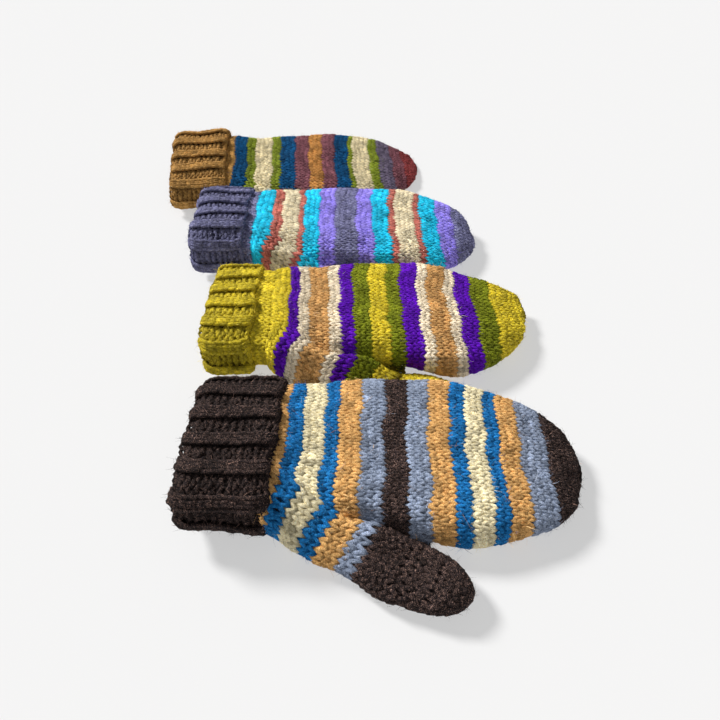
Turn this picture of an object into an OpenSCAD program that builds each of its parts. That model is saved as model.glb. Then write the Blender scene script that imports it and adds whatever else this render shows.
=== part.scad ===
// Set of four hand-knitted wool mittens, laid palm up one behind another.
// Each mitten is a lined knit shell: wrist layer, turned-up ribbed cuff, palm, finger tube and thumb.
// Origin: on the flat underside of the rear (mustard) mitten. +X runs from cuffs to finger tips,
// +Y from the front mitten to the rear one, +Z up.

/* [Hand] */
// Length from the wrist end to the finger tip
tip_x = 262; // [240:1:290]
// Half width of the hand on the side away from the thumb
hand_far = 61; // [54:1:66]
// Half width of the hand on the thumb side, past the crotch
hand_near = 58; // [52:1:62]
// Thickness of the stuffed hand
hand_t = 30.6; // [26:0.2:34]
// Width of the wrist layer
wrist_w = 96; // [90:1:100]
// Distance from the wrist end to the crotch between hand and thumb
crotch_x = 157; // [150:1:165]

/* [Thumb] */
// Width of the thumb tube
thumb_w = 36; // [33:1:38]
// Free length of the thumb past its base line
thumb_l = 31; // [26:1:36]
// Thickness of a thumb that lies free
free_thumb_t = 21; // [18:0.5:23]
// Thickness of a thumb that the next mitten lies on
pressed_thumb_t = 11.5; // [10.5:0.5:12]

/* [Cuff] */
// Width over the turned-up cuff
cuff_w = 108; // [107:0.5:112]
// Thickness over the turned-up cuff
cuff_t = 43; // [42:0.5:46]
// Thickness of the ribbed cuff layer
rib_t = 5.4; // [4.6:0.2:5.4]

/* [Fabric] */
// Thickness of the plain knit
knit_t = 4.5; // [3.6:0.1:4.8]
// Thickness of the fleece lining
fleece_t = 1.8; // [1.4:0.1:2]
// Clearance between layers and between moving sections
gap = 0.4; // [0.3:0.05:0.6]

/* [Brown mitten] */
// Place of the hand's middle along X
brown_x = 81; // [80:1:90]
// Place of the hand's middle along Y
brown_y = -365; // [-370:1:-365]
// Turn seen from above, in degrees
brown_turn = -1.5; // [-3:0.5:0]
// Size against the drawn length
brown_size = 0.965; // [0.95:0.005:0.98]
// Share of the drawn half width on the side away from the thumb
brown_far = 0.94; // [0.92:0.01:1]
// Where the cuff folds back
brown_fold = 7; // [4:1:9]
// Where the cuff's free edge ends
brown_edge = 60; // [50:1:60]

/* [Green mitten] */
// Place of the hand's middle along X
green_x = 71.5; // [68:0.5:75]
// Place of the hand's middle along Y
green_y = -240; // [-240:1:-239]
// Turn seen from above, in degrees
green_turn = 2; // [0:0.5:2]
// Size against the drawn length
green_size = 0.98; // [0.96:0.005:0.98]
// Where the cuff folds back
green_fold = 12; // [8:1:16]
// Where the cuff's free edge ends
green_edge = 47; // [42:1:60]

/* [Indigo mitten] */
// Place of the hand's middle along X
indigo_x = 45; // [40:1:50]
// Place of the hand's middle along Y
indigo_y = -120; // [-120:1:-119]
// Turn seen from above, in degrees
indigo_turn = 1.5; // [1:0.5:3]
// Size against the drawn length
indigo_size = 1; // [0.98:0.005:1]
// Where the cuff folds back
indigo_fold = 7; // [3:1:12]
// Where the cuff's free edge ends
indigo_edge = 52; // [44:1:60]

/* [Mustard mitten] */
// Turn seen from above, in degrees
mustard_turn = 4.5; // [3:0.5:5]
// Size against the drawn length
mustard_size = 1; // [0.98:0.005:1]
// Where the cuff folds back
mustard_fold = 3; // [2:1:8]
// Where the cuff's free edge ends
mustard_edge = 57; // [50:1:60]
// How much fuller the far side of the tip is
mustard_full = 0.28; // [0:0.02:0.3]

/* [Hidden] */

ring_n = 20;              // points round each section
full_x = 150;             // where the hand is widest
swell_x = 100;            // from here the thickness tapers towards the tip
palm_x = 60.5;            // wrist layer ends and palm begins
flat = 0.6;               // how far the underside is flattened
side_e = 0.72;            // section roundness, across
top_e = 0.62;             // section roundness, up
crease_y = -21;           // crease between hand and thumb gusset, at the palm's start
crease_slope = -0.52;     // how the crease runs until it reaches the hand's near edge
thumb_slant = 27;         // slant of the knit rows where the thumb starts, in degrees
lean = 9;                 // a mitten lying on the next one's thumb tips up by this angle
lean_y = -55;             // and tips up from here
wedge_y = -10;            // thickness is unchanged by the wedge here
press_y = [-66, -48];     // the gusset takes the thumb's thickness between these
lobe = 0.82;              // share of the full thickness at the middle of the gusset
lining_in = knit_t + 3.5 * gap;
lining_out = lining_in + fleece_t;

// One mitten: [x, y, turn, lean in degrees, wedge, size, fold, edge, thumb thickness, far share, tip fullness]
BROWN = [
    brown_x, brown_y, brown_turn, lean, 0.3,
    brown_size, brown_fold, brown_edge, free_thumb_t, brown_far, 0
];
GREEN = [
    green_x, green_y, green_turn, lean, 0.38,
    green_size, green_fold, green_edge, pressed_thumb_t, 1, 0
];
INDIGO = [
    indigo_x, indigo_y, indigo_turn, lean, 0.34,
    indigo_size, indigo_fold, indigo_edge, pressed_thumb_t, 1, 0
];
MUSTARD = [
    0, 0, mustard_turn, 0, -0.3,
    mustard_size, mustard_fold, mustard_edge, pressed_thumb_t, 1, mustard_full
];

function clamp(v) = min(1, max(0, v));
function smooth(v) = let(c = clamp(v)) c * c * (3 - 2 * c);
function signed_pow(v, e) = sign(v) * pow(abs(v), e);
function angle_at(k) = 360 * k / ring_n;

// Outline of the hand, as distances from its centre line
function far_edge(s) = s <= full_x
    ? wrist_w / 2 + (hand_far - wrist_w / 2) * (1 - pow(1 - clamp((s - palm_x) / (full_x - palm_x)), 2.2))
    : hand_far * sqrt(1 - pow((s - full_x) / (tip_x - full_x), 2));
function near_edge(s) = hand_near * sqrt(1 - pow(max(0, s - full_x) / (tip_x - full_x), 3));
function half_t(s) = hand_t / 2 * pow(1 - pow(max(0, s - swell_x) / (tip_x - swell_x), 2.2), 0.45);
function centre_z(s) = half_t(s) - flat
    + (cuff_t - hand_t) / 2 * (1 - smooth((s - palm_x) / (swell_x - palm_x)));

// The crease, and the width and slant of the knit rows on the gusset below it
function crease(s) = max(-hand_near, crease_y + crease_slope * (s - palm_x));
function gusset_w(s) = lookup(s, [
    [palm_x, wrist_w / 2 + crease_y],
    [72, 28], [118, 28], [crotch_x, thumb_w], [200, thumb_w]
]);
function slant(s) = lookup(s, [
    [palm_x, 0], [66, 10], [72, 18.5], [80, 25.5],
    [90, 33], [116, 33], [130, thumb_slant], [200, thumb_slant]
]);

// Section rings in the mitten's own frame; inset shrinks a ring to the inner faces
function tube_ring(s, wide, thick, inset) = [for (k = [0 : ring_n - 1]) [
    s,
    (wide / 2 - inset) * signed_pow(cos(angle_at(k)), side_e),
    max(inset, centre_z(s) + (thick / 2 - inset) * signed_pow(sin(angle_at(k)), top_e))
]];
function finger_ring(s, inset) = let(
    far = far_edge(s) - inset,
    near = near_edge(s) - inset - gap
) [for (k = [0 : ring_n - 1]) [
    s,
    (far - near) / 2 + (far + near) / 2 * signed_pow(cos(angle_at(k)), side_e),
    max(inset, centre_z(s) + (half_t(s) - inset) * signed_pow(sin(angle_at(k)), top_e))
]];
function palm_point(s, run, z, inset) = let(
    straight = far_edge(s) - crease(s) - inset,
    past = run - straight
) past < 0
    ? [s, far_edge(s) - inset - run, z]
    : [s - past * sin(slant(s)), crease(s) - past * cos(slant(s)), z];
function palm_ring(s, inset, short = 0) = let(
    total = far_edge(s) - crease(s) + gusset_w(s) - 2 * inset - short
) [for (k = [0 : ring_n - 1]) palm_point(
    s,
    total * (1 - signed_pow(cos(angle_at(k)), side_e)) / 2,
    max(inset, centre_z(s) + (half_t(s) - inset) * signed_pow(sin(angle_at(k)), top_e)),
    inset
)];

// Thumb rings run along a bent centre line, u from 0 at its base to 1 at its tip
base_x = crotch_x - thumb_w / 2 * sin(thumb_slant);
base_y = crease(crotch_x) - thumb_w / 2 * cos(thumb_slant);
function thumb_x(u) = base_x + gap + thumb_l * u;
function thumb_y(u) = base_y - 9 * u + 3 * u * u;
function thumb_ring(m, u, inset) = let(
    turn = 24 * u - thumb_slant,
    half_w = (thumb_w / 2 - 0.9) * sqrt(1 - pow(max(0, (u - 0.25) / 0.75), 2.2)) - inset,
    rise = m[8] / 2 * sqrt(1 - 0.98 * pow(max(0, (u - 0.5) / 0.5), 2.4)) - inset * m[8] / free_thumb_t
) [for (k = [0 : ring_n - 1]) let(across = half_w * signed_pow(cos(angle_at(k)), 0.8)) [
    thumb_x(u) - across * sin(turn),
    thumb_y(u) + across * cos(turn),
    m[8] / 2 + rise * signed_pow(sin(angle_at(k)), 0.7)
]];

// From a mitten's own frame to the set: press the gusset, wedge, lean, turn and place
function wedge(m, y) = 1 - m[4] * (max(y, -hand_near) - wedge_y) / hand_far;
function press(m, y) = lookup(y, [
    [press_y[0], m[8] / hand_t / lobe],
    [press_y[1], wedge(m, press_y[1])]
]);
function swell(m, y) = y < press_y[1] ? press(m, y) : wedge(m, y);
function far_share(m, s) = m[9] + m[10] * smooth((s - full_x) / 90);
function placed(m, p, gusset = true) = let(
    x = m[5] * (p[0] - tip_x / 2),
    y = m[5] * p[1] * (p[1] > 0 ? far_share(m, p[0]) : 1),
    z = m[5] * p[2] * (gusset ? swell(m, p[1]) : 1) + tan(m[3]) * max(0, y - m[5] * lean_y)
) [
    m[0] + x * cos(m[2]) - y * sin(m[2]),
    m[1] + x * sin(m[2]) + y * cos(m[2]),
    z
];

// Skins over a list of rings: a sleeve open at both ends, or a sock closed at its tip
function band(i, j) = [for (k = [0 : ring_n - 1]) let(n = (k + 1) % ring_n) each [
    [i * ring_n + k, j * ring_n + k, j * ring_n + n],
    [i * ring_n + k, j * ring_n + n, i * ring_n + n]
]];
module sleeve(rings) {
    count = len(rings);
    polyhedron(
        points = [for (r = rings) each r],
        faces = [for (i = [0 : count - 1]) each band(i, (i + 1) % count)],
        convexity = 6
    );
}
module sock(inner_tip, rings, outer_tip) {
    count = len(rings);
    a = count * ring_n;
    polyhedron(
        points = concat([for (r = rings) each r], [inner_tip, outer_tip]),
        faces = concat(
            [for (i = [0 : count - 2]) each band(i, i + 1)],
            [for (k = [0 : ring_n - 1]) [a, k, (k + 1) % ring_n]],
            [for (k = [0 : ring_n - 1]) [a - ring_n + k, a + 1, a - ring_n + (k + 1) % ring_n]]
        ),
        convexity = 6
    );
}
function set_rings(m, rings, gusset = true) = [for (r = rings) [for (p = r) placed(m, p, gusset)]];
function reversed(list) = [for (i = [len(list) - 1 : -1 : 0]) list[i]];

// Turned-up ribbed layer: a thick sleeve with a rounded fold and edge
module cuff(m) {
    fold = m[6];
    edge = m[7];
    outer = [[fold, 3.4], [fold + 2, 1], [fold + 6, 0], [edge - 3, 0], [edge - 1, 0.7], [edge, 2]];
    inner = [edge, (fold + edge) / 2, fold];
    sleeve(set_rings(m, concat(
        [for (o = outer) tube_ring(o[0], cuff_w, cuff_t, o[1])],
        [for (s = inner) tube_ring(s, cuff_w, cuff_t, rib_t)]
    )));
}

// Ribbed wrist layer under the turned-up cuff
module wrist(m) {
    start = m[6] + 1.5;
    mid = (start + palm_x) / 2;
    rows = [start, mid, palm_x - gap];
    sleeve(set_rings(m, concat(
        [for (s = rows) tube_ring(s, wrist_w, hand_t, 0)],
        [for (s = reversed(rows)) tube_ring(s, wrist_w, hand_t, knit_t)]
    )));
}

// Palm and thumb gusset, open towards the wrist, the fingers and the thumb
palm_rows = [palm_x, 66, 73, 81, 92, 105, 118, 131, 144, crotch_x];
module palm(m) {
    sleeve(set_rings(m, concat(
        [for (s = palm_rows) palm_ring(s, 0)],
        [for (s = reversed(palm_rows)) palm_ring(s, knit_t)]
    )));
}
// A pressed thumb's gusset is too thin for the lining, which stops short of it
module palm_lining(m) {
    start = m[6] + 8;
    short = m[8] < free_thumb_t ? 18 : 4;
    mouth = [start, palm_x - 1];
    sleeve(set_rings(m, concat(
        [for (s = mouth) tube_ring(s, wrist_w, hand_t, lining_in)],
        [for (s = palm_rows) palm_ring(s, lining_in, short)],
        [for (s = reversed(palm_rows)) palm_ring(s, lining_out, short)],
        [for (s = reversed(mouth)) tube_ring(s, wrist_w, hand_t, lining_out)]
    )));
}

// Finger tube and its lining, closed at the tip
finger_rows = [0, 0.17, 0.36, 0.53, 0.68, 0.8, 0.89, 0.95, 0.985];
function finger_x(f, end) = crotch_x + gap + f * (end - crotch_x - gap);
function finger_apex(m, s) = placed(m, [s, 0, centre_z(s) + flat]);
// outer and inner each give the inset, the last ring's station and the closed tip's station
module finger_sock(m, outer, inner) {
    sock(
        finger_apex(m, inner[2]),
        set_rings(m, concat(
            [for (f = reversed(finger_rows)) finger_ring(finger_x(f, inner[1]), inner[0])],
            [for (f = finger_rows) finger_ring(finger_x(f, outer[1]), outer[0])]
        )),
        finger_apex(m, outer[2])
    );
}
module fingers(m) finger_sock(m, [0, tip_x - 1, tip_x], [knit_t, tip_x - 13, tip_x - 9]);
module finger_lining(m) {
    finger_sock(m, [lining_in, tip_x - 13, tip_x - 10], [lining_out, tip_x - 20, tip_x - 17]);
}

// Thumb tube and its lining, closed at the tip
thumb_rows = [0, 0.3, 0.55, 0.75, 0.88, 0.96];
function thumb_apex(m, u) = placed(
    m,
    [thumb_x(u), thumb_y(u), m[8] / 2],
    false
);
module thumb_sock(m, outer, inner) {
    sock(
        thumb_apex(m, inner[2]),
        set_rings(m, concat(
            [for (u = reversed(thumb_rows)) thumb_ring(m, u * inner[1], inner[0])],
            [for (u = thumb_rows) thumb_ring(m, u * outer[1], outer[0])]
        ), false),
        thumb_apex(m, outer[2])
    );
}
module thumb(m) thumb_sock(m, [0, 0.98, 1], [knit_t, 0.8, 0.86]);
module thumb_lining(m) thumb_sock(m, [lining_in, 0.8, 0.84], [lining_out, 0.68, 0.72]);

module brown_cuff() { color("#3b302e") cuff(BROWN); }
module brown_wrist() { color("#4a3a36") wrist(BROWN); }
module brown_palm() { color("#1b86cf") palm(BROWN); }
module brown_fingers() { color("#d9963f") fingers(BROWN); }
module brown_thumb() { color("#3b302e") thumb(BROWN); }
module brown_palm_lining() { color("#e9e2d2") palm_lining(BROWN); }
module brown_finger_lining() { color("#e9e2d2") finger_lining(BROWN); }
module brown_thumb_lining() { color("#e9e2d2") thumb_lining(BROWN); }

module green_cuff() { color("#c9b81c") cuff(GREEN); }
module green_wrist() { color("#b5a51a") wrist(GREEN); }
module green_palm() { color("#5a14c8") palm(GREEN); }
module green_fingers() { color("#8a9a20") fingers(GREEN); }
module green_thumb() { color("#c9b81c") thumb(GREEN); }
module green_palm_lining() { color("#e9e2d2") palm_lining(GREEN); }
module green_finger_lining() { color("#e9e2d2") finger_lining(GREEN); }
module green_thumb_lining() { color("#e9e2d2") thumb_lining(GREEN); }

module indigo_cuff() { color("#3a3a5c") cuff(INDIGO); }
module indigo_wrist() { color("#333352") wrist(INDIGO); }
module indigo_palm() { color("#14b4d8") palm(INDIGO); }
module indigo_fingers() { color("#9a7fe0") fingers(INDIGO); }
module indigo_thumb() { color("#3a3a5c") thumb(INDIGO); }
module indigo_palm_lining() { color("#e9e2d2") palm_lining(INDIGO); }
module indigo_finger_lining() { color("#e9e2d2") finger_lining(INDIGO); }
module indigo_thumb_lining() { color("#e9e2d2") thumb_lining(INDIGO); }

module mustard_cuff() { color("#9a6b24") cuff(MUSTARD); }
module mustard_wrist() { color("#6e4a1c") wrist(MUSTARD); }
module mustard_palm() { color("#0a5a90") palm(MUSTARD); }
module mustard_fingers() { color("#7a3a4a") fingers(MUSTARD); }
module mustard_thumb() { color("#b5782c") thumb(MUSTARD); }
module mustard_palm_lining() { color("#e9e2d2") palm_lining(MUSTARD); }
module mustard_finger_lining() { color("#e9e2d2") finger_lining(MUSTARD); }
module mustard_thumb_lining() { color("#e9e2d2") thumb_lining(MUSTARD); }

brown_cuff();
brown_wrist();
brown_palm();
brown_fingers();
brown_thumb();
brown_palm_lining();
brown_finger_lining();
brown_thumb_lining();
green_cuff();
green_wrist();
green_palm();
green_fingers();
green_thumb();
green_palm_lining();
green_finger_lining();
green_thumb_lining();
indigo_cuff();
indigo_wrist();
indigo_palm();
indigo_fingers();
indigo_thumb();
indigo_palm_lining();
indigo_finger_lining();
indigo_thumb_lining();
mustard_cuff();
mustard_wrist();
mustard_palm();
mustard_fingers();
mustard_thumb();
mustard_palm_lining();
mustard_finger_lining();
mustard_thumb_lining();
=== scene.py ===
"""Four hand-knitted wool mittens, palm up one behind another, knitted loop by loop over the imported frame."""

import math

import bpy
import numpy as np
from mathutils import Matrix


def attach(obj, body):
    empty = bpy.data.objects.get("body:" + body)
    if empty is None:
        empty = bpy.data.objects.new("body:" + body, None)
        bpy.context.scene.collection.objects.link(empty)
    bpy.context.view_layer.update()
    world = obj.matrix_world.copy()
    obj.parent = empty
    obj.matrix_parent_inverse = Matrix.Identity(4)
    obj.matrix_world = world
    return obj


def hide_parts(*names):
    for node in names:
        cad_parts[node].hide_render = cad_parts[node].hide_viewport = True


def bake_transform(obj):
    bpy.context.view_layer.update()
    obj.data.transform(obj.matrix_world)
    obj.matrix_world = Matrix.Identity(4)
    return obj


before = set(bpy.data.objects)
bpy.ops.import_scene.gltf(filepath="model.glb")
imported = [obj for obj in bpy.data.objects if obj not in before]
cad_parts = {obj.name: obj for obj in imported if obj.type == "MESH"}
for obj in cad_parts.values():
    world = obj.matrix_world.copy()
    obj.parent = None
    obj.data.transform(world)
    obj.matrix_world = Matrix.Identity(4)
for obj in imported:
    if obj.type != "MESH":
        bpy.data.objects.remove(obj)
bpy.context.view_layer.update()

MM = 0.001

# The hand's outline and sections, in millimetres, as in part.scad
TIP_X, HAND_FAR, HAND_NEAR, HAND_T, WRIST_W, CROTCH_X = 262, 61, 58, 30.6, 96, 157
THUMB_SLANT, CUFF_W, CUFF_T, GAP = 27, 108, 43, 0.4
FULL_X, SWELL_X, PALM_X, FLAT = 150, 100, 60.5, 0.6
SIDE_E, TOP_E, LOBE = 0.72, 0.62, 0.82
LEAN_Y, WEDGE_Y, PRESS_Y = -55, -10, (-66, -48)
MIDDLE_Y = 1.5
CREASE_Y, CREASE_SLOPE = -21, -0.52
THUMB_BASE_W = 36
FULL_RUN = 90
# The gusset's width and its turn away from the hand, in degrees, at stations along the hand
GUSSET_AT, GUSSET_W = [PALM_X, 72, 112, 125, CROTCH_X], [27, 28, 29, 34]
SLANT_AT = [PALM_X, 66, 72, 80, 90, 116, 130]
SLANT = [0, 10, 18.5, 25.5, 33, 33, THUMB_SLANT]
# A thumb thicker than FREE_THUMB lies free; the others are pressed, and their layers lie closer
FREE_THUMB, PRESSED_LAYERS = 15, 0.8
FREE_THUMB_T = 21

# What only the yarn shows: how far the rows fan out from FAN_X, and where the tip starts to lean
FAN_X, FAN_FAR, FAN_NEAR = 110, 0.095, 0.03
LEAN_X, LEAN_RUN = 190, 70
# The valley between hand and gusset, the press of the mitten above on a gusset, the gusset's step along
# the hand, and the groove at the crease: how much, and the stations where each starts and how long it grows
VALLEY, VALLEY_X, VALLEY_RUN = 0.92, 68, 64
PRESS, PRESS_X, PRESS_RUN, PRESS_WIDE = 0.55, 126, 30, 18
JOG, JOG_X, JOG_RUN, JOG_END, JOG_FADE = 3.5, 70, 10, 152, 22
GROOVE, GROOVE_WIDE = 0.3, 5
# The thumb's turn and bow over its length, and where its width and its thickness start to round off
THUMB_TURN, THUMB_BOW, THUMB_TAPER_U, THUMB_ROUND_U = 16, 3, 0.1, 0.5

# The knit: depth of the yarn's centre line below the surface, and the loop's shape, in rows and loops;
# WALES is the number of loops from the far edge to the middle of the hand
KNIT_IN, RIB_IN = 2.1, 2.9
LOOP_H, LOOP_A, LOOP_D = 0.95, 0.3, 0.95
YARN_WIDE, YARN_THIN = 1.36, 1.15
STITCH_W, ROW_H = 5.3, 4.7
STEPS_PER_LOOP, SIDES = 10, 5
WALES = 14
RIB_OUT, RIB_DEEP = 1.3, 1.1
PLY_TWIST = 0.8
CUFF_STITCHES, WRIST_STITCHES = 48, 44
SEG_STEPS = 48
FUZZ = 11

# Depths of the layers behind the knit (the dark sheets of painted shade and the fleece lining), the cuff's
# counted from its own yarn, and the least heights above the floor
SHADE_SHEET_IN, THUMB_SHADE_SHEET_IN, CUFF_SHADE_SHEET_IN = KNIT_IN + 1.5, KNIT_IN + 1.3, 1.9
LINING_IN, THUMB_LINING_IN = 6.6, 6.4
SKIN_Z, YARN_Z, HAIR_Z = 2.2, 0.15, 0.2

# far is the far side's share of the drawn half width, and full how much that share grows towards the
# tip; waist and crotch are where the hand's near side lies beside the gusset and at the crotch; long and
# drop are the thumb's reach along and away from the hand; tip is how far the tip leans to the far side,
# and narrow how much its far side narrows; dents are soft hollows as (station, y, radius, depth)
MITTENS = {
    "brown": dict(x=81, y=-365, turn=-1.5, lean=9, wedge=0.3, size=0.965, fold=10, edge=64, thumb=21,
                  far=0.94, full=0, waist=46, crotch=56, long=31, drop=14, tip=0, narrow=0,
                  dents=[(197, 38, 12, 3.5), (130, 0, 16, 3), (160, 22, 12, 1.6), (228, -12, 14, 2)]),
    "green": dict(x=71.5, y=-240, turn=2, lean=9, wedge=0.38, size=0.98, fold=12, edge=47, thumb=11.5,
                  far=1, full=0, waist=43, crotch=48, long=46, drop=5, tip=16, narrow=0.21,
                  dents=[(205, 42, 15, 5), (150, 5, 14, 2), (115, 30, 12, 1.5)]),
    "indigo": dict(x=45, y=-120, turn=1.5, lean=9, wedge=0.34, size=1, fold=7, edge=52, thumb=11.5,
                   far=1, full=0, waist=50, crotch=56, long=31, drop=9, tip=0, narrow=0,
                   dents=[(140, 10, 16, 2), (190, 20, 13, 2)]),
    "mustard": dict(x=0, y=0, turn=4.5, lean=0, wedge=-0.3, size=1, fold=3, edge=57, thumb=11.5,
                    far=1, full=0.28, waist=50, crotch=56, long=31, drop=9, tip=22, narrow=0,
                    dents=[(120, 15, 14, 2), (180, 0, 16, 2)]),
}

# Stripes from the wrist to the tip: (yarn, rows, length in mm); the last one runs to the tip
STRIPES = {
    "brown": [("brown", 1, 6), ("tan", 1, 5), ("blue", 2, 9.5), ("cream", 3, 13.5), ("blue", 2, 9),
              ("tan", 3, 14), ("slate", 3, 15), ("brown", 3, 14.5), ("slate", 3, 13.5), ("tan", 3, 14),
              ("blue", 2, 9.5), ("cream", 3, 13.5), ("blue", 2, 8.5), ("tan", 3, 14), ("slate", 4, 17),
              ("brown", 6, 0)],
    "green": [("lime", 3, 12.5), ("purple", 2, 7), ("cream", 2, 8), ("camel", 3, 15.5), ("cream", 2, 8),
              ("purple", 2, 11), ("olive", 3, 12), ("lime", 3, 14), ("olive", 2, 11.5), ("purple", 3, 13),
              ("cream", 2, 7.5), ("camel", 3, 15.5), ("cream", 2, 8), ("purple", 3, 13), ("olive", 3, 16),
              ("lime", 6, 0)],
    "indigo": [("turquoise", 3, 15), ("brick", 2, 7.5), ("cream", 3, 15), ("brick", 1, 5.5),
               ("turquoise", 3, 13.5), ("lilac", 3, 14), ("indigo", 4, 19.5), ("lilac", 3, 14),
               ("turquoise", 3, 15), ("brick", 1, 6.5), ("cream", 4, 17), ("brick", 1, 6.5),
               ("turquoise", 3, 16), ("lilac", 3, 15), ("indigo", 5, 0)],
    "mustard": [("bronze", 1, 6), ("blue", 3, 12), ("moss", 2, 9), ("cream", 4, 17.5), ("moss", 2, 8.5),
                ("blue", 3, 16), ("maroon", 3, 14.5), ("orange", 3, 14), ("maroon", 3, 13), ("blue", 3, 15),
                ("moss", 1, 4.5), ("cream", 4, 18.5), ("moss", 2, 10), ("slate", 3, 15), ("maroon", 3, 12),
                ("red", 4, 0)],
}
# The thumb and the gusset from this station on: (station, yarn)
THUMB_YARNS = {
    "brown": [(128, "brown")],
    "green": [(123, "olive"), (137, "lime")],
    "indigo": [(131, "indigo")],
    "mustard": [(144, "bronze")],
}
RIB_YARN = {"brown": "brown", "green": "lime", "indigo": "indigo", "mustard": "bronze"}

# Each mitten's wool: (dark strand, light strand, fleck, share of flecks); the strands are heather and painted
# shade and highlight
WOOL = {
    "brown": {
        "brown": ("#040303", "#2d2526", "#c09a8a", 0.22), "tan": ("#87521e", "#efbe78", "#ffdc9e", 0.2),
        "blue": ("#032a54", "#1c7ec4", "#5cb8e8", 0.18), "cream": ("#b3a371", "#fff4d0", "#fffdf0", 0.2),
        "slate": ("#3a4454", "#9eabc4", "#c4ccda", 0.25),
    },
    "green": {
        "lime": ("#867007", "#f4dc30", "#ffef78", 0.25), "purple": ("#20004c", "#6a10c6", "#9048e2", 0.15),
        "cream": ("#a38f6a", "#fff0d6", "#fffbf0", 0.2), "camel": ("#784918", "#e4b270", "#f6d29c", 0.2),
        "olive": ("#2f3603", "#868e1a", "#aeb840", 0.2),
    },
    "indigo": {
        "indigo": ("#2c2c50", "#8484ac", "#c0c0d6", 0.26),
        "turquoise": ("#0488ae", "#1edcfc", "#80ecfa", 0.2),
        "brick": ("#8a3832", "#da8474", "#e8aa9a", 0.2), "cream": ("#b0a07e", "#fbeecc", "#fffbe8", 0.2),
        "lilac": ("#6656b6", "#ab9cf8", "#cabefc", 0.2),
    },
    "mustard": {
        "bronze": ("#704a16", "#d8a45a", "#ecc488", 0.24), "blue": ("#02203c", "#08588c", "#2c80b0", 0.18),
        "moss": ("#4a560c", "#8c9a2c", "#b0bc5c", 0.2), "cream": ("#a69672", "#f2e4ba", "#fff8de", 0.2),
        "maroon": ("#482530", "#925c64", "#b48088", 0.2), "orange": ("#865424", "#d0964f", "#e8b880", 0.2),
        "slate": ("#383246", "#7a6e82", "#a094a8", 0.2), "red": ("#581a1d", "#a64a49", "#c87470", 0.2),
    },
}
FLEECE = ("#d8cfba", "#efe8d8", "#fbf7ec", 0.2)
# The dark sheets behind the knit, as (dark strand, light strand, fleck, share of flecks): painted shade seen
# in the gaps between loops
SHADE_SHEET = ("#1c1512", "#3c3028", "#4a3e34", 0.1)


# ---------------------------------------------------------------- the mitten's surface


def smooth(v):
    v = np.clip(v, 0, 1)
    return v * v * (3 - 2 * v)


def signed_pow(v, e):
    return np.sign(v) * np.abs(v) ** e


def far_edge(s):
    swelling = 1 - (1 - np.clip((s - PALM_X) / (FULL_X - PALM_X), 0, 1)) ** 2.2
    if s <= FULL_X:
        return WRIST_W / 2 + (HAND_FAR - WRIST_W / 2) * swelling
    return HAND_FAR * math.sqrt(1 - ((s - FULL_X) / (TIP_X - FULL_X)) ** 2)


def near_edge(m, s):
    drawn = HAND_NEAR * math.sqrt(1 - (max(0, s - FULL_X) / (TIP_X - FULL_X)) ** 3)
    return drawn - (HAND_NEAR - m["crotch"]) * smooth((CROTCH_X + m["long"] - s) / m["long"])


def half_t(s):
    return HAND_T / 2 * (1 - (max(0, s - SWELL_X) / (TIP_X - SWELL_X)) ** 2.2) ** 0.45


def centre_z(s):
    return half_t(s) - FLAT + (CUFF_T - HAND_T) / 2 * (1 - smooth((s - PALM_X) / (SWELL_X - PALM_X)))


def crease(m, s):
    beside = np.interp(s, [125, CROTCH_X], [m["waist"], m["crotch"]])
    return float(max(-beside, CREASE_Y + CREASE_SLOPE * (s - PALM_X)))


def thumb_w(m):
    """Width of the thumb's base, from the crotch to the outer edge."""
    return THUMB_BASE_W + (HAND_NEAR - m["crotch"]) / math.cos(math.radians(THUMB_SLANT))


def gusset_w(m, s):
    return np.interp(s, GUSSET_AT, GUSSET_W + [thumb_w(m)])


def slant(s):
    return math.radians(np.interp(s, SLANT_AT, SLANT))


def placed(m, p, gusset=True):
    """From a mitten's own frame to the row frame, both in millimetres."""
    size, y0 = m["size"], p[..., 1]
    far = m["far"] + m["full"] * smooth((p[..., 0] - FULL_X) / FULL_RUN)
    x = size * (p[..., 0] - TIP_X / 2)
    y = size * y0 * np.where(y0 > 0, far, 1)
    z = size * p[..., 2]
    if gusset:
        wedge = 1 - m["wedge"] * (np.maximum(y0, -HAND_NEAR) - WEDGE_Y) / HAND_FAR
        at_press = 1 - m["wedge"] * (PRESS_Y[1] - WEDGE_Y) / HAND_FAR
        press = np.interp(y0, PRESS_Y, [m["thumb"] / HAND_T / LOBE, at_press])
        z = z * np.where(y0 < PRESS_Y[1], press, wedge)
    z = z + math.tan(math.radians(m["lean"])) * np.maximum(0, y - size * LEAN_Y)
    c, s = math.cos(math.radians(m["turn"])), math.sin(math.radians(m["turn"]))
    return np.stack([m["x"] + x * c - y * s, m["y"] + x * s + y * c, z], -1)


def shaped(m, p, gusset=True):
    """As placed, with what only the yarn shows: the rows' fan, the leaning tip and the soft dents."""
    s, y, z = p[..., 0], p[..., 1], p[..., 2]
    fan = np.interp(s, [62, 80, 190, 240], [0, 1, 1, 0.2]) * np.where(y > 0, FAN_FAR, FAN_NEAR)
    x = s + fan * (s - FAN_X) * (np.maximum(y, -HAND_NEAR) / HAND_FAR) ** 2
    x = x + 0.8 * np.sin(y / 7.3 + s / 31 + m["x"]) + 0.5 * np.sin(y / 3.9 + s / 17)
    t = np.clip((s - LEAN_X) / LEAN_RUN, 0, 1.03)
    x = x + 0.2 * m["tip"] * t ** 4
    y = y * np.where(y > 0, 1 - m["narrow"] * t ** 2, 1) + m["tip"] * t ** 4
    for at_s, at_y, radius, depth in m["dents"]:
        z = z * (1 - depth / HAND_T * np.exp(-((s - at_s) ** 2 + (y - at_y) ** 2) / radius ** 2))
    return placed(m, np.stack([x, y, z], -1), gusset)


def dome(run, total, e=SIDE_E, top=TOP_E):
    """Height share of a section, 0 at both of its edges, at a distance run from one of them."""
    c = np.abs(1 - 2 * np.clip(run / total, 0, 1))
    return (1 - c ** (2 / e)) ** (top / 2)


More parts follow.
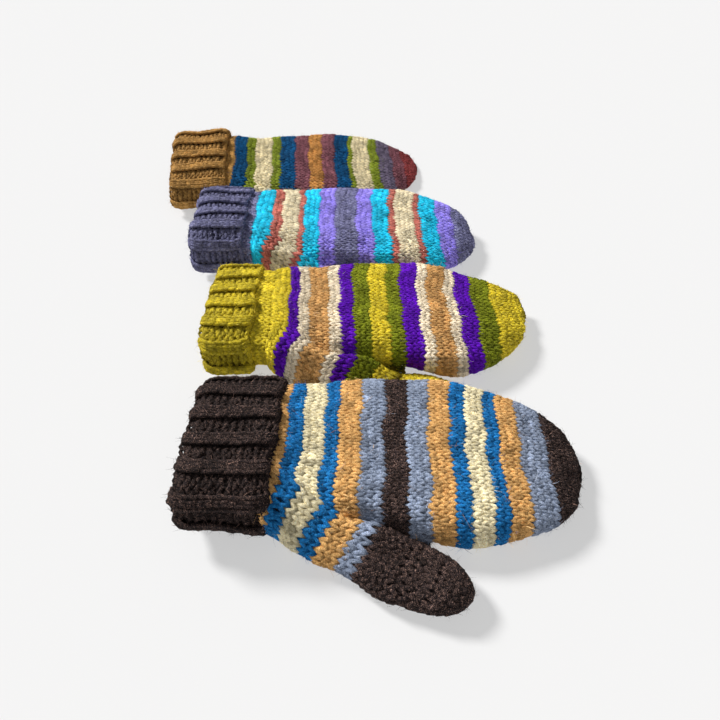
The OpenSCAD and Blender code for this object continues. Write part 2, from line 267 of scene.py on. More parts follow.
def eased(a, b, count=90):
    return a + (b - a) * (1 - np.cos(np.pi * np.linspace(0, 1, count))) / 2


def palm_section(m, s, inset):
    """Far top, near top, gusset top, then the same three back along the underside."""
    far = far_edge(s) - inset
    straight, wide = far - crease(m, s), gusset_w(m, s) - inset
    total = straight + wide
    valley = VALLEY * smooth((s - VALLEY_X) / VALLEY_RUN)
    pressed = 0 if m["thumb"] > FREE_THUMB else PRESS * smooth((s - PRESS_X) / PRESS_RUN)
    jog = JOG * smooth((s - JOG_X) / JOG_RUN) * smooth((JOG_END - s) / JOG_FADE)
    parts = []
    bounds = [0, far - MIDDLE_Y, straight, total]
    for sign, bounds in ((1, bounds), (-1, bounds[::-1])):
        for a, b in zip(bounds, bounds[1:]):
            run = eased(a, b)
            past = np.maximum(run - straight, 0)
            on_hand = run <= straight
            rise = sign * (half_t(s) - inset)
            whole = centre_z(s) + rise * dome(run, total)
            hand = centre_z(s) + rise * dome(run, straight)
            lobe = LOBE * (centre_z(s) + rise * dome(run - straight, wide, 0.8, 0.7))
            lobe = lobe * (1 - pressed * (1 - smooth(past / PRESS_WIDE)))
            split = np.where(on_hand, hand, lobe)
            hollow = 1 - GROOVE * valley * np.exp(-((run - straight) / GROOVE_WIDE) ** 2)
            z = np.maximum(inset, hollow * ((1 - valley) * whole + valley * split))
            x = s - past * math.sin(slant(s)) + jog * smooth(past / JOG)
            y = np.where(on_hand, far - run, crease(m, s) - past * math.cos(slant(s)))
            parts.append(np.stack([x, y, z], -1))
    return parts


def hand_section(m, s, inset):
    """Far top, near top, then the same two back along the underside."""
    far, near = far_edge(s) - inset, near_edge(m, s) - inset - GAP
    far, near = max(far, 2), max(near, 2)
    rise_t = max(half_t(s) - inset, 0.3)
    parts = []
    bounds = [0, far - MIDDLE_Y, far + near]
    for sign, bounds in ((1, bounds), (-1, bounds[::-1])):
        for a, b in zip(bounds, bounds[1:]):
            run = eased(a, b)
            z = np.maximum(inset, centre_z(s) + sign * rise_t * dome(run, far + near))
            parts.append(np.stack([np.full_like(run, s), far - run, z], -1))
    return parts


def tube_section(s, wide, thick, inset):
    """Top and underside of the wrist or the cuff."""
    parts = []
    for sign in (1, -1):
        turn = eased(0, math.pi) if sign > 0 else eased(math.pi, 2 * math.pi)
        y = (wide / 2 - inset) * signed_pow(np.cos(turn), SIDE_E)
        z = np.maximum(inset, centre_z(s) + (thick / 2 - inset) * signed_pow(np.sin(turn), TOP_E))
        parts.append(np.stack([np.full_like(y, s), y, z], -1))
    return parts


def thumb_section(m, u, inset):
    """Top and underside of the thumb tube, u from 0 at its base to 1 at its tip."""
    half = thumb_w(m) / 2
    base_x = CROTCH_X - half * math.sin(math.radians(THUMB_SLANT))
    base_y = crease(m, CROTCH_X) - half * math.cos(math.radians(THUMB_SLANT))
    turn = math.radians(THUMB_TURN * u - THUMB_SLANT)
    tapered = max(0, (u - THUMB_TAPER_U) / (1 - THUMB_TAPER_U))
    half_w = max((half - 0.9) * math.sqrt(1 - tapered ** 2.1) - inset, 1.5)
    thick = math.sqrt(1 - 0.98 * max(0, (u - THUMB_ROUND_U) / (1 - THUMB_ROUND_U)) ** 2.4)
    rise = max(m["thumb"] / 2 * thick - inset * m["thumb"] / FREE_THUMB_T, 0.4)
    parts = []
    for turn_a, turn_b in ((0, math.pi), (math.pi, 2 * math.pi)):
        around = eased(turn_a, turn_b)
        across = half_w * signed_pow(np.cos(around), 0.8)
        parts.append(np.stack([
            base_x + GAP + m["long"] * u - across * math.sin(turn),
            base_y - m["drop"] * u + THUMB_BOW * u * u + across * math.cos(turn),
            m["thumb"] / 2 + rise * signed_pow(np.sin(around), 0.7),
        ], -1))
    return parts


def wobble(p, phase):
    """Soft hand-made unevenness, in millimetres."""
    x, y, z = p[..., 0], p[..., 1], p[..., 2]
    return (
        0.55 * np.sin(x / 9.1 + 0.7 * np.sin(y / 13 + phase) + phase)
        + 0.5 * np.sin(y / 8.3 + 0.9 * np.sin(x / 17 + 2 * phase))
        + 0.4 * np.sin((x + y) / 15.7 + z / 9 + 3 * phase)
    )


def cloud(p, size, seed):
    """Smooth noise from 0 to 1 with cells of a given size, in millimetres."""
    table = np.random.default_rng(seed).random((16, 16, 16))
    g = p / size
    low = np.floor(g).astype(int)
    f = smooth(g - low)
    total = 0
    for corner in range(8):
        bits = np.array([corner & 1, corner >> 1 & 1, corner >> 2 & 1])
        share = np.prod(np.where(bits, f, 1 - f), -1)
        at = (low + bits) % 16
        total = total + share * table[at[..., 0], at[..., 1], at[..., 2]]
    return total


class Skin:
    """A surface made of closed rings, each in segments of even arc length, with stations along the fabric."""

    def __init__(self, stations, sections, place, steps=SEG_STEPS, phase=0.0, uneven=1.0):
        self.at = np.array(stations, float)
        grid, arcs = [], []
        for parts in sections:
            ring, lengths = [], []
            for part in parts:
                p = place(part)
                arc = np.concatenate([[0], np.cumsum(np.linalg.norm(np.diff(p, axis=0), axis=1))])
                even = np.linspace(0, arc[-1], steps + 1)[:-1]
                ring.append(np.stack([np.interp(even, arc, p[:, i]) for i in range(3)], -1))
                lengths.append(arc[-1])
            grid.append(np.concatenate(ring))
            arcs.append(lengths)
        self.steps, self.segments = steps, len(arcs[0])
        self.grid, self.arc = np.array(grid), np.array(arcs)
        self.normal = self._normals()
        if uneven:
            self.grid = self.grid + self.normal * (uneven * wobble(self.grid, phase))[..., None]
            self.grid[..., 2] = np.maximum(self.grid[..., 2], SKIN_Z)
            self.normal = self._normals()

    def _normals(self):
        along = np.gradient(self.grid, axis=0)
        around = np.roll(self.grid, -1, 1) - np.roll(self.grid, 1, 1)
        n = np.cross(around, along)
        n /= np.maximum(np.linalg.norm(n, axis=-1, keepdims=True), 1e-9)
        out = self.grid - self.grid.mean(1, keepdims=True)
        return n if (n * out).sum() > 0 else -n

    def _rows(self, s):
        i = np.clip(np.interp(s, self.at, np.arange(len(self.at))), 0, len(self.at) - 1.001)
        return i.astype(int), i - np.floor(i)

    def arc_at(self, s, k):
        i, f = self._rows(s)
        return self.arc[i, k] * (1 - f) + self.arc[i + 1, k] * f

    def sample(self, s, a):
        """Point and outward normal at station s and place a around, one unit per segment."""
        i, f = self._rows(s)
        g = a * self.steps
        j = np.floor(g).astype(int)
        h = (g - j)[:, None]
        f = f[:, None]
        count = self.segments * self.steps
        j, j2 = j % count, (j + 1) % count
        out = []
        for table in (self.grid, self.normal):
            low = table[i, j] * (1 - h) + table[i, j2] * h
            high = table[i + 1, j] * (1 - h) + table[i + 1, j2] * h
            out.append(low * (1 - f) + high * f)
        return out[0], out[1] / np.maximum(np.linalg.norm(out[1], axis=1, keepdims=True), 1e-9)


# ---------------------------------------------------------------- yarn


class Mesh:
    """Vertices and quads gathered for one piece, with the yarn's own coordinates for its colour."""

    def __init__(self):
        self.verts, self.quads, self.fibre, self.tone, self.count = [], [], [], [], 0

    def add(self, verts, quads, fibre, tone=1.0):
        self.verts.append(verts)
        self.quads.append(quads + self.count)
        self.fibre.append(fibre)
        self.tone.append(np.broadcast_to(tone, len(verts)))
        self.count += len(verts)


def grid_quads(rows, cols, wrap_rows, wrap_cols):
    i = np.arange(rows if wrap_rows else rows - 1)[:, None]
    j = np.arange(cols if wrap_cols else cols - 1)[None, :]
    i2, j2 = (i + 1) % rows, (j + 1) % cols
    return np.stack([i * cols + j, i2 * cols + j, i2 * cols + j2, i * cols + j2], -1).reshape(-1, 4)


def unit(v):
    return v / np.maximum(np.linalg.norm(v, axis=-1, keepdims=True), 1e-9)


def tube(mesh, path, normal, thick, tone, closed, rng, fuzz=0.0):
    """A yarn along a path, flattened against the fabric, with loose fibres standing off its outer side."""
    if closed:
        tangent = np.roll(path, -1, 0) - np.roll(path, 1, 0)
    else:
        tangent = np.gradient(path, axis=0)
        thick = thick * np.minimum(1, 0.25 + np.minimum(np.arange(len(path)), np.arange(len(path))[::-1]) / 3)
    tangent = unit(tangent)
    side = unit(np.cross(tangent, normal))
    up = np.cross(side, tangent)
    turn = 2 * np.pi * (np.arange(SIDES) + 0.5) / SIDES
    thick = np.broadcast_to(thick, len(path))[:, None, None]
    out = thick * (side[:, None] * np.cos(turn)[None, :, None] * YARN_WIDE
                   + up[:, None] * np.sin(turn)[None, :, None] * YARN_THIN)
    verts = path[:, None] + out
    verts[..., 2] = np.maximum(verts[..., 2], YARN_Z)
    along = np.concatenate([[0], np.cumsum(np.linalg.norm(np.diff(path, axis=0), axis=1))])
    seed = rng.uniform(0, 400, 2)
    twist = turn[None] + PLY_TWIST * along[:, None]
    fibre = np.empty((len(path), SIDES, 3))
    fibre[..., 0] = along[:, None] * 0.24
    fibre[..., 1] = np.cos(twist) * 1.5 + seed[0]
    fibre[..., 2] = np.sin(twist) * 1.5 + seed[1]
    tone = np.repeat(np.broadcast_to(tone, len(path)), SIDES)
    mesh.add(verts.reshape(-1, 3), grid_quads(len(path), SIDES, closed, True), fibre.reshape(-1, 3), tone)
    hairs = int(fuzz * len(path) / STEPS_PER_LOOP)
    if hairs:
        at, corner = rng.integers(0, len(path), hairs), rng.integers(0, SIDES // 2 + 1, hairs)
        seen = (normal[at, 2] > -0.3) | (rng.random(hairs) < 0.15)
        at, corner = at[seen], corner[seen]
        own = rng.uniform(0, 400, (len(at), 3))
        # Loose fibres painted brighter than their yarn, a painted highlight
        loose_fibres(mesh, verts[at, corner], unit(out[at, corner]), tangent[at], own, 1.35, rng, (1.8, 4.8))


def loose_fibres(mesh, root, out, tangent, fibre, tone, rng, lengths):
    """Thin ribbons that leave the yarn and curl along it."""
    count = len(root)
    drift = unit(rng.normal(size=(count, 3)))
    start = unit(0.45 * out + 0.6 * drift + rng.choice([-1, 1], count)[:, None] * 0.8 * tangent)
    curl = unit(rng.normal(size=(count, 3)) - 0.7 * out)
    length = rng.uniform(*lengths, count)[:, None]
    side = unit(np.cross(start, drift)) * rng.uniform(0.06, 0.11, count)[:, None]
    strip = []
    for k in range(4):
        t = k / 3
        p = root + length * (t * start + 0.5 * t * t * curl)
        w = side * (1 - 0.75 * t)
        strip += [p - w, p + w]
    verts = np.stack(strip, 1)
    verts[..., 2] = np.maximum(verts[..., 2], HAIR_Z)
    quads = np.array([[2 * k, 2 * k + 1, 2 * k + 3, 2 * k + 2] for k in range(3)])
    quads = (quads[None] + 8 * np.arange(count)[:, None, None]).reshape(-1, 4)
    mesh.add(verts.reshape(-1, 3), quads, np.repeat(fibre[:, None], 8, 1).reshape(-1, 3), tone)


def locate(skin, counts, q, s, wale=None):
    """Place around the ring of loop number q. A wale width keeps loops in line with the middle."""
    counts = np.array(counts)
    ends = np.cumsum(counts)
    q = np.mod(q, ends[-1])
    k = np.minimum(np.searchsorted(ends, q, side="right"), len(counts) - 1)
    c, n = q - (ends - counts)[k], counts[k]
    share = c / n
    if wale is not None:
        last = len(counts) - 1
        arc = skin.arc_at(s, k)
        width = np.interp(s, skin.at, wale)
        to_middle = (k == 0) | (k == last - 1)
        from_middle = (k == 1) | (k == last)
        share = np.where(to_middle, 1 - np.minimum(1, (n - c) * width / arc), share)
        share = np.where(from_middle, np.minimum(1, c * width / arc), share)
    return k + share


def gathered(q):
    """Places of the rib's loops: each pair of knit columns drawn together, each pair of purl ones spread."""
    r = np.mod(q, 4)
    return q - r + np.where(r < 2, 0.74 * r, 1.26 * r - 1.04)


def course(skin, rows, i, counts, rng, wale=None, rib=0.0, first=0, last=None):
    """One row of loops: path, normals, thickness, brightness with its painted shading, and whether it closes
    on itself.

    rib is the share of knit-two purl-two relief. On the palm, which has six segments, the gusset's
    loops, in segments 2 and 3, are a little fuller, and the loops beside the crease get painted shade.
    """
    total = int(sum(counts))
    last = total if last is None else last
    whole = last - first == total
    q = first + np.arange((last - first) * STEPS_PER_LOOP + (0 if whole else 1)) / STEPS_PER_LOOP
    t = 2 * np.pi * q
    knots = np.arange(total)
    vary = [np.interp(q, knots, rng.normal(size=total), period=total) for _ in range(5)]
    own = rng.normal(size=total)[np.mod(np.round(q), total).astype(int)]
    face = np.ones_like(q)
    if rib:
        face = 1 - rib + rib * np.clip(6 * np.sin(np.pi * q / 2), -1, 1)
    relief = -face * np.cos(2 * t)
    cord = rib * (face > 0) * np.sin(np.pi * q) ** 2
    lift = relief * LOOP_D * (1 - 0.4 * cord)
    lift = lift + rib * np.where(face > 0, RIB_OUT, RIB_DEEP) * face
    lift = lift + 0.9 * cord
    lift = lift + 0.25 * vary[0]
    lateral = LOOP_A * (1 - 0.25 * rib) * np.sin(2 * t) + 0.07 * vary[1]
    reach = LOOP_H * (1 + 0.1 * vary[2])
    order = np.arange(-1, len(rows) + 1)
    ends = np.concatenate([[2 * rows[0] - rows[1]], rows, [2 * rows[-1] - rows[-2]]])
    s = np.interp(i - reach * np.cos(t) + 0.07 * vary[3], order, ends)
    places = q + lateral
    places = places + rib * (gathered(places) - places)
    a = locate(skin, counts, places, s, wale)
    p, n = skin.sample(s, a)
    # Painted shade: each loop darker where it dips into the fabric and lighter where it rises, times a random
    # brightness for each stitch
    tone = (1 + 0.17 * own) * (0.22 + 0.98 * smooth((relief + 1) / 2))
    # Painted shade in the rib's recessed purl columns, times random cloudy patches lighter and darker
    tone = tone * (1 + 0.35 * rib * np.minimum(0, face)) * (0.74 + 0.52 * cloud(p, 14, total))
    # Painted shade between the loops of the rib's knit columns
    tone = tone * (1 - 0.5 * rib * (face > 0) * np.cos(np.pi * q) ** 2)
    thick = 1 + 0.1 * vary[4]
    if len(counts) == 6:
        segment = np.where((a > 2) & (a < 4), 2, 1)
        from_crease = np.minimum(np.abs(a - 2), np.abs(a - 4)) * skin.arc_at(s, segment)
        # Painted shade along the crease between hand and gusset, deeper from station 95 on
        tone = tone * (1 - 0.75 * smooth((s - 95) / 35) * np.exp(-((from_crease / 4) ** 2)))
        thick = thick * np.where(np.isin(np.floor(a), (2, 3)), 1.16, 1)
    return p + n * lift[:, None], n, thick, tone, whole


# ---------------------------------------------------------------- materials


def linear(code, k=1.0):
    rgb = [int(code[i:i + 2], 16) / 255 for i in (1, 3, 5)]
    return tuple(k * (c / 12.92 if c <= 0.04045 else ((c + 0.055) / 1.055) ** 2.4) for c in rgb) + (1,)


def wool(name, dark, light, fleck, share, fine=1.0):
    """Matt wool: streaks of a dark and a light strand along the yarn, both heather and painted fibre shade and
    highlight, with flecks of a third, and a fibrous bump.
    """
    mat = bpy.data.materials.new(name)
    mat.use_nodes = True
    nodes, links = mat.node_tree.nodes, mat.node_tree.links
    shader = nodes["Principled BSDF"]
    shader.inputs["Roughness"].default_value = 0.92
    shader.inputs["Specular IOR Level"].default_value = 0.15
    shader.inputs["Sheen Weight"].default_value = 0.25
    shader.inputs["Sheen Roughness"].default_value = 0.5
    shader.inputs["Sheen Tint"].default_value = linear(light)
    fibre = nodes.new("ShaderNodeAttribute")
    fibre.attribute_name = "fibre"
    streak = nodes.new("ShaderNodeTexNoise")
    streak.inputs["Scale"].default_value = 2.2 * fine
    streak.inputs["Detail"].default_value = 4
    streak.inputs["Roughness"].default_value = 0.7
    spots = nodes.new("ShaderNodeTexNoise")
    spots.inputs["Scale"].default_value = 3.4 * fine
    spots.inputs["Detail"].default_value = 2
    strands, flecks = nodes.new("ShaderNodeValToRGB"), nodes.new("ShaderNodeValToRGB")
    # The dark and light strands are partly painted fibre shade and painted highlight
    strands.color_ramp.elements[0].position, strands.color_ramp.elements[1].position = 0.38, 0.6
    strands.color_ramp.elements[0].color, strands.color_ramp.elements[1].color = linear(dark), linear(light)
    flecks.color_ramp.elements[0].position = 0.68 - 0.45 * share
    flecks.color_ramp.elements[1].position = 0.80 - 0.45 * share
    mix = nodes.new("ShaderNodeMix")
    mix.data_type = "RGBA"
    mix.inputs[7].default_value = linear(fleck)
    # The mesh's brightness, which carries painted shading, scales the colour
    tone = nodes.new("ShaderNodeAttribute")
    tone.attribute_name = "tone"
    shade = nodes.new("ShaderNodeVectorMath")
    shade.operation = "SCALE"
    bump = nodes.new("ShaderNodeBump")
    bump.inputs["Strength"].default_value = 0.8
    bump.inputs["Distance"].default_value = 0.0009
    links.new(fibre.outputs["Vector"], streak.inputs["Vector"])
    links.new(fibre.outputs["Vector"], spots.inputs["Vector"])
    links.new(streak.outputs["Fac"], strands.inputs["Fac"])
    links.new(spots.outputs["Fac"], flecks.inputs["Fac"])
    links.new(flecks.outputs["Color"], mix.inputs[0])
    links.new(strands.outputs["Color"], mix.inputs[6])
    links.new(mix.outputs[2], shade.inputs[0])
    links.new(tone.outputs["Fac"], shade.inputs["Scale"])
    links.new(shade.outputs["Vector"], shader.inputs["Base Color"])
    links.new(streak.outputs["Fac"], bump.inputs["Height"])
    links.new(bump.outputs["Normal"], shader.inputs["Normal"])
    return mat


def piece(name, mesh, mat):
    """The gathered mesh as an object, in metres."""
    verts = (np.concatenate(mesh.verts) * MM).astype(np.float32)
    quads = np.concatenate(mesh.quads).astype(np.int32)
    data = bpy.data.meshes.new(name)
    data.vertices.add(len(verts))
    data.vertices.foreach_set("co", verts.ravel())
    data.loops.add(quads.size)
    data.loops.foreach_set("vertex_index", quads.ravel())
    data.polygons.add(len(quads))
    data.polygons.foreach_set("loop_start", np.arange(0, quads.size, 4, dtype=np.int32))
    data.polygons.foreach_set("use_smooth", np.ones(len(quads), bool))
    data.update(calc_edges=True)
    fibre = data.attributes.new("fibre", "FLOAT_VECTOR", "POINT")
    fibre.data.foreach_set("vector", np.concatenate(mesh.fibre).astype(np.float32).ravel())
    # Brightness for each vertex, with its painted shading
    tone = data.attributes.new("tone", "FLOAT", "POINT")
    tone.data.foreach_set("value", np.concatenate(mesh.tone).astype(np.float32))
    data.materials.append(mat)
    obj = bpy.data.objects.new(name, data)
    bpy.context.scene.collection.objects.link(obj)
    return obj


def sheet_of(mesh, skin, closed_end=False):
    """A plain layer over a whole skin."""
    rows, cols = skin.grid.shape[:2]
    mesh.add(skin.grid.reshape(-1, 3), grid_quads(rows, cols, False, True), skin.grid.reshape(-1, 3) * 0.25)
    if closed_end:
        ring = skin.grid[-1]
        cap = np.concatenate([ring, ring[::-1]])
        half = cols // 2
        quads = np.array([[k, k + 1, cols - 2 - k, cols - 1 - k] for k in range(half - 1)])
        mesh.add(cap[:cols], quads, cap[:cols] * 0.25)


# ---------------------------------------------------------------- one mitten


def row_stations(name):
    """Station, yarn and place in the order of every row from the wrist to the tip."""
    rows, yarns, s = [], [], PALM_X
    for yarn, count, length in STRIPES[name]:
        length = length or TIP_X - 2.8 - s
        if yarn == STRIPES[name][-1][0] and s + length > TIP_X - 5:
            share = 1 - (1 - (np.arange(count) + 0.5) / count) ** 1.25
        else:
            share = (np.arange(count) + 0.5) / count
        rows += list(s + length * share)
        yarns += [yarn] * count
        s += length
    return np.array(rows), yarns


def add_course(mesh, skin, rows, i, counts, rng, thick=1.0, **kw):
    path, normal, vary, tone, whole = course(skin, rows, i, counts, rng, **kw)
    tube(mesh, path, normal, thick * vary, tone, whole, rng, FUZZ)


def chain(mesh, skin, rng):
    """Bound-off edge: two strands that cross at every stitch."""
    turns = np.arange(CUFF_STITCHES * STEPS_PER_LOOP) / STEPS_PER_LOOP
    for sign in (1, -1):
        t = 2 * np.pi * turns
        s = 1.5 + sign * 0.95 * np.sin(t / 2) ** 3 + 0.25 * np.sin(t / 7)
        p, n = skin.sample(s, gathered(turns) / CUFF_STITCHES * skin.segments)
        ribs = np.clip(6 * np.sin(np.pi * turns / 2), -1, 1)
        lift = 0.2 + 0.5 * ribs + sign * 0.5 * np.cos(t / 2)
        tube(mesh, p + n * lift[:, None], n, 1.05, 0.95 + 0.08 * np.sin(t / 5), True, rng, FUZZ)


def stray_hairs(mesh, palm, hand, rng, count):
    """Long pale fibres shed over the knit."""
    for skin, low, high in ((palm, 66, 156), (hand, 158, 240)):
        s, a = rng.uniform(low, high, count // 2), rng.uniform(0, 2, count // 2)
        p, n = skin.sample(s, a)
        across = unit(np.cross(n, rng.normal(size=p.shape)))
        seed = rng.uniform(0, 400, p.shape)
        # Stray hairs painted a little brighter than their yarn, a painted highlight
        loose_fibres(mesh, p + 1.8 * n, 0.2 * n, across, seed, 1.2, rng, (5, 10))


def stations(*runs):
    """Stations of a skin from runs of (from, to, step)."""
    return np.concatenate([np.arange(*run) for run in runs])


def squeeze(m):
    """How much of their depth a thumb's layers keep."""
    return 1 if m["thumb"] > FREE_THUMB else PRESSED_LAYERS


def wrist_start(m):
    return m["fold"] + 1.5


def palm_skin(m, place, phase):
    """The palm and gusset, carried straight on a little way under the wrist."""
    at = stations((PALM_X - 7.5, 168, 1.5))
    sections = []
    for s in at:
        parts = palm_section(m, max(s, PALM_X), KNIT_IN)
        for p in parts:
            p[:, 0] += min(0, s - PALM_X)
        sections.append(parts)
    return Skin(at, sections, place, phase=phase)


def hand_skin(m, place, phase):
    at = stations((146, 252, 1.5), (252, TIP_X - 1.6, 0.6))
    return Skin(at, [hand_section(m, s, KNIT_IN) for s in at], place, phase=phase)


def loops_per_segment(skin, s, wale, on_palm):
    """Loops of the row at station s on the far top, the near top and the gusset's top."""
    arcs = [float(skin.arc_at(np.array([s]), np.array([k]))[0]) for k in range(skin.segments)]
    width = np.interp(s, skin.at, wale)
    far_n = WALES if s < FULL_X else max(1, math.ceil(arcs[0] / width - 0.3))
    near_n = max(1, math.ceil(arcs[1] / width - 0.3))
    side_n = max(4, round(arcs[2] / STITCH_W)) if on_palm else 0
    return far_n, near_n, side_n


def gusset_yarn(name, s, yarn, on_palm):
    for start, other in THUMB_YARNS[name]:
        if on_palm and s > start:
            yarn = other
    return yarn


def knit_hand(name, m, place, phase, rng):
    """Palm, gusset and fingers, as one mesh for each yarn."""
    palm, hand = palm_skin(m, place, phase), hand_skin(m, place, phase)
    knit = {}
    rows, yarns = row_stations(name)
    for i, (s, yarn) in enumerate(zip(rows, yarns)):
        on_palm = s < CROTCH_X - 1
        skin = palm if on_palm else hand
        wale_top = skin.arc[:, 0] / WALES
        wale = np.where(skin.at < FULL_X, wale_top, np.interp(FULL_X, skin.at, wale_top))
        far_n, near_n, side_n = loops_per_segment(skin, s, wale, on_palm)
        counts = [far_n, near_n, near_n, far_n]
        if on_palm:
            counts = [far_n, near_n, side_n, side_n, near_n, far_n]
        side_yarn = gusset_yarn(name, s, yarn, on_palm)
        mesh = knit.setdefault(yarn, Mesh())
        if side_yarn == yarn:
            add_course(mesh, skin, rows, i, counts, rng, wale=wale)
            continue
        a = far_n + near_n
        b = a + 2 * side_n
        add_course(mesh, skin, rows, i, counts, rng, wale=wale, first=b - sum(counts), last=a)
        side = knit.setdefault(side_yarn, Mesh())
        add_course(side, skin, rows, i, counts, rng, wale=wale, first=a, last=b)
    if name == "brown":
        stray_hairs(knit["tan"], palm, hand, rng, 80)
    return knit


def knit_thumb(m, place, phase, rng):
    us = stations((-0.12, 0.8, 0.05), (0.8, 0.985, 0.015))
    sections = [thumb_section(m, u, KNIT_IN * squeeze(m)) for u in us]
    skin = Skin(us, sections, place, phase=phase, uneven=0.6)
    count = round(m["long"] / 4.1)
    rows = 0.05 + 0.9 * (1 - (1 - np.arange(count) / (count - 1)) ** 1.15)
    arcs = [float(skin.arc_at(np.array([u]), np.array([0]))[0]) for u in rows]
    mesh = Mesh()
    for i, arc in enumerate(arcs):
        n = max(3, round(arcs[0] / STITCH_W * math.sqrt(arc / arcs[0])))
        add_course(mesh, skin, rows, i, [n, n], rng, thick=1.18)
    return mesh


def knit_wrist(m, place, phase, rng):
    """Wrist layer, ribbed under the turned-up cuff and plain where it shows."""
    start = wrist_start(m)
    at = stations((start - 3, PALM_X + 8, 1.5))
    sections = [tube_section(s, WRIST_W, HAND_T, KNIT_IN) for s in at]
    skin = Skin(at, sections, place, phase=phase, uneven=0.5)
    rows = np.arange(start + 2, PALM_X, ROW_H)
    mesh = Mesh()
    for i, s in enumerate(rows):
        rib = 0.6 * float(smooth((m["edge"] - 3 - s) / 6))
        add_course(mesh, skin, rows, i, [WRIST_STITCHES // 2] * 2, rng, rib=rib)
    return mesh


def cuff_path(m):
    """The cuff's profile from its bound-off edge round the fold: length, distances and (station, depth)."""
    fold, edge = m["fold"], m["edge"]
    profile = [(edge + 0.2, 2.8), (edge - 0.8, 1.3), (edge - 3, 0.4), (edge - 6, 0)]
    profile += [(x, 0) for x in np.arange(edge - 9, fold + 9, -3)]
    profile += [(fold + 7, 0.3), (fold + 4, 1.1), (fold + 1.9, 2.5), (fold + 1.1, 4.2)]
    profile += [(fold + 2.2, 5.6), (fold + 5, 6)]
    profile = np.array([(s, RIB_IN + deeper) for s, deeper in profile])
    steps = np.linalg.norm(np.diff(profile, axis=0), axis=1)
    at = np.concatenate([[0], np.cumsum(steps)])
    fine = np.arange(0, at[-1], 1.2)
    path = [(np.interp(v, at, profile[:, 0]), np.interp(v, at, profile[:, 1])) for v in fine]
    return at[-1], fine, path


def knit_cuff(m, place, phase, rng):
    """Turned-up cuff in knit-two purl-two rib, with its chain of bound-off loops along the edge."""
    length, fine, path = cuff_path(m)
    sections = [tube_section(s, CUFF_W, CUFF_T, depth) for s, depth in path]
    skin = Skin(fine, sections, place, phase=phase, uneven=1.3)
    rows = np.arange(3.4, length - 2, ROW_H)
    mesh = Mesh()
    for i in range(len(rows)):
        add_course(mesh, skin, rows, i, [CUFF_STITCHES // 2] * 2, rng, thick=1.14, rib=1.0)
    chain(mesh, skin, rng)
    return mesh


def hand_shade_sheet(m, place, phase):
    """A dark sheet of painted shade behind the loops of palm, fingers and wrist, seen through the gaps between
    loops.
    """
    mesh = Mesh()
    at = stations((PALM_X, 160, 4))
    sections = [palm_section(m, s, SHADE_SHEET_IN) for s in at]
    sheet_of(mesh, Skin(at, sections, place, steps=16, phase=phase))
    at = stations((154, 250, 4), (250, TIP_X - 2, 1.5))
    sections = [hand_section(m, s, SHADE_SHEET_IN) for s in at]
    sheet_of(mesh, Skin(at, sections, place, steps=16, phase=phase), True)
    at = stations((wrist_start(m), PALM_X + 1, 3))
    sections = [tube_section(s, WRIST_W, HAND_T, SHADE_SHEET_IN) for s in at]
    sheet_of(mesh, Skin(at, sections, place, steps=40, phase=phase, uneven=0.5))
    return mesh


# A dark sheet of painted shade behind the thumb's loops, seen through their gaps
def thumb_shade_sheet(m, place):
    mesh = Mesh()
    at = stations((-0.05, 0.8, 0.1), (0.8, 0.98, 0.03))
    sections = [thumb_section(m, u, THUMB_SHADE_SHEET_IN * squeeze(m)) for u in at]
    sheet_of(mesh, Skin(at, sections, place, steps=24, uneven=0), True)
    return mesh


# A dark sheet of painted shade behind the cuff's rib, seen through its gaps
def cuff_shade_sheet(m, place, phase):
    mesh = Mesh()
    _, fine, path = cuff_path(m)
    sections = [tube_section(s, CUFF_W, CUFF_T, depth + CUFF_SHADE_SHEET_IN) for s, depth in path]
    sheet_of(mesh, Skin(fine, sections, place, steps=40, phase=phase, uneven=1.2))
    return mesh


def hand_fleece(m, place):
    mesh = Mesh()
    at = stations((m["fold"] + 8, PALM_X + 2, 4))
    sections = [tube_section(s, WRIST_W, HAND_T, LINING_IN) for s in at]
    sheet_of(mesh, Skin(at, sections, place, steps=40, uneven=0))
    at = stations((PALM_X, 160, 6))
    sections = [palm_section(m, s, LINING_IN) for s in at]
    sheet_of(mesh, Skin(at, sections, place, steps=12, uneven=0))
    at = stations((154, TIP_X - 16, 6))
    sections = [hand_section(m, s, LINING_IN) for s in at]
    sheet_of(mesh, Skin(at, sections, place, steps=12, uneven=0), True)
    return mesh


def thumb_fleece(m, place):
    mesh = Mesh()
    at = stations((0, 0.75, 0.1))
    sections = [thumb_section(m, u, THUMB_LINING_IN * squeeze(m)) for u in at]
    sheet_of(mesh, Skin(at, sections, place, steps=12, uneven=0), True)
    return mesh


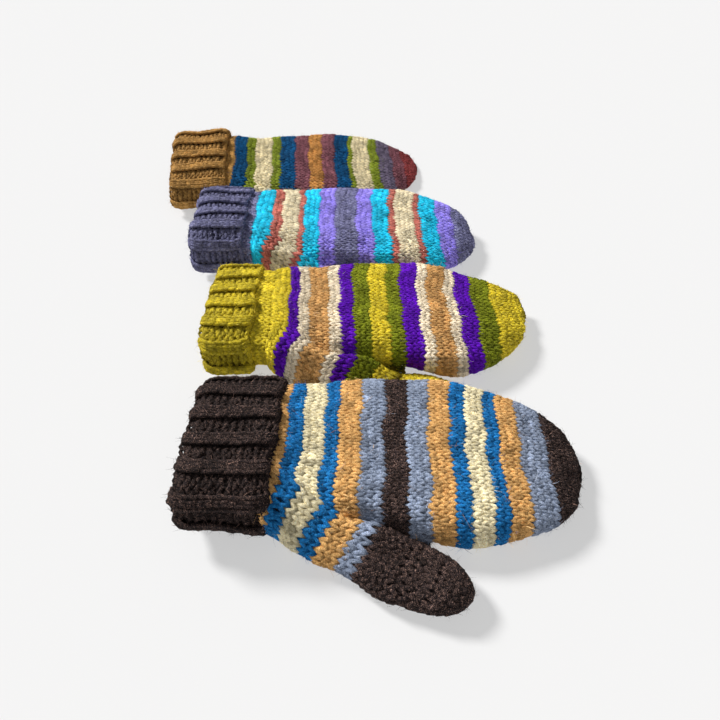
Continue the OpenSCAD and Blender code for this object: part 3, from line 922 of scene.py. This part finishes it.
def build(name, m, number):
    """One mitten: its knit, its dark sheets of painted shade and its fleece lining, then its pieces, the
    wrist's and the cuff's on their bodies.
    """
    rng = np.random.default_rng(40 + number)
    phase = 1.3 * number

    def place(p):
        return shaped(m, p)

    def place_thumb(p):
        return shaped(m, p, False)

    knit = knit_hand(name, m, place, phase, rng)
    thumb = knit_thumb(m, place_thumb, phase, rng)
    wrist = knit_wrist(m, place, phase, rng)
    cuff = knit_cuff(m, place, phase, rng)

    body = f"{name}_hand"

    def on_hand(obj):
        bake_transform(obj)

    def on_thumb(obj):
        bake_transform(obj)

    wools = {yarn: wool(f"{name}_{yarn}_wool", *WOOL[name][yarn]) for yarn in WOOL[name]}
    # A dark wool for the sheets of painted shade behind the knit
    back = wool(f"{name}_shade_sheet", *SHADE_SHEET)
    fleece = wool(f"{name}_fleece", *FLEECE, fine=3.0)
    rib_wool = wools[RIB_YARN[name]]
    for number_in_hand, (yarn, mesh) in enumerate(knit.items()):
        obj = piece(f"{name}_knit_{yarn}", mesh, wools[yarn])
        on_hand(obj)
        if number_in_hand == 0:
            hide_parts(f"{name}_palm", f"{name}_fingers")
    yarn = THUMB_YARNS[name][-1][1]
    obj = piece(f"{name}_thumb_knit_{yarn}", thumb, wools[yarn])
    on_thumb(obj)
    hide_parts(f"{name}_thumb")
    # The dark sheets of painted shade behind the knit of hand and thumb
    on_hand(piece(f"{name}_knit_shade_sheet", hand_shade_sheet(m, place, phase), back))
    on_thumb(piece(f"{name}_thumb_shade_sheet", thumb_shade_sheet(m, place_thumb), back))
    obj = piece(f"{name}_fleece", hand_fleece(m, place), fleece)
    on_hand(obj)
    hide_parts(f"{name}_palm_lining", f"{name}_finger_lining")
    obj = piece(f"{name}_thumb_fleece", thumb_fleece(m, place_thumb), fleece)
    on_thumb(obj)
    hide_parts(f"{name}_thumb_lining")
    obj = piece(f"{name}_wrist_rib", wrist, rib_wool)
    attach(obj, body)
    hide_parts(f"{name}_wrist")
    obj = piece(f"{name}_cuff_rib", cuff, rib_wool)
    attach(obj, f"{name}_cuff")
    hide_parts(f"{name}_cuff")
    # The cuff's dark sheet of painted shade
    obj = piece(f"{name}_cuff_shade_sheet", cuff_shade_sheet(m, place, phase), back)
    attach(obj, f"{name}_cuff")


for number, (name, m) in enumerate(MITTENS.items()):
    build(name, m, number)


# ---------------------------------------------------------------- floor, light and camera


def sun(name, place, strength, spread, colour):
    """A far light that shines from a place towards the origin."""
    lamp = bpy.data.lights.new(name, "SUN")
    lamp.energy, lamp.angle, lamp.color = strength, math.radians(spread), colour
    obj = bpy.data.objects.new(name, lamp)
    obj.rotation_euler = (
        math.atan2(math.hypot(place[0], place[1]), place[2]),
        0,
        math.atan2(place[1], place[0]) + math.pi / 2,
    )
    bpy.context.scene.collection.objects.link(obj)


bpy.ops.mesh.primitive_plane_add(size=12)
floor = bpy.context.object
floor.name = "floor"
paper = bpy.data.materials.new("pale_floor")
paper.use_nodes = True
surface = paper.node_tree.nodes["Principled BSDF"]
surface.inputs["Base Color"].default_value = (0.3, 0.3, 0.3, 1)
surface.inputs["Roughness"].default_value = 0.95
surface.inputs["Specular IOR Level"].default_value = 0
surface.inputs["Emission Color"].default_value = (1, 1, 1, 1)
surface.inputs["Emission Strength"].default_value = 0.5
floor.data.materials.append(paper)

world = bpy.data.worlds.new("studio")
world.use_nodes = True
world.node_tree.nodes["Background"].inputs["Color"].default_value = (1, 1, 1, 1)
world.node_tree.nodes["Background"].inputs["Strength"].default_value = 0.24
bpy.context.scene.world = world
sun("key", (-0.75, 0.5, 0.72), 5.4, 12, (1, 0.99, 0.98))
sun("fill", (0.3, -1, 0.9), 0.4, 60, (0.95, 0.97, 1))
bpy.context.scene.view_settings.view_transform = "Standard"

camera = bpy.data.objects.new("camera", bpy.data.cameras.new("camera"))
camera.location = (0.068, -0.552, 0.308)
camera.rotation_euler = (math.radians(42.9), 0, 0)
camera.data.lens = 27
camera.data.sensor_width = 36
bpy.context.scene.collection.objects.link(camera)
bpy.context.scene.camera = camera
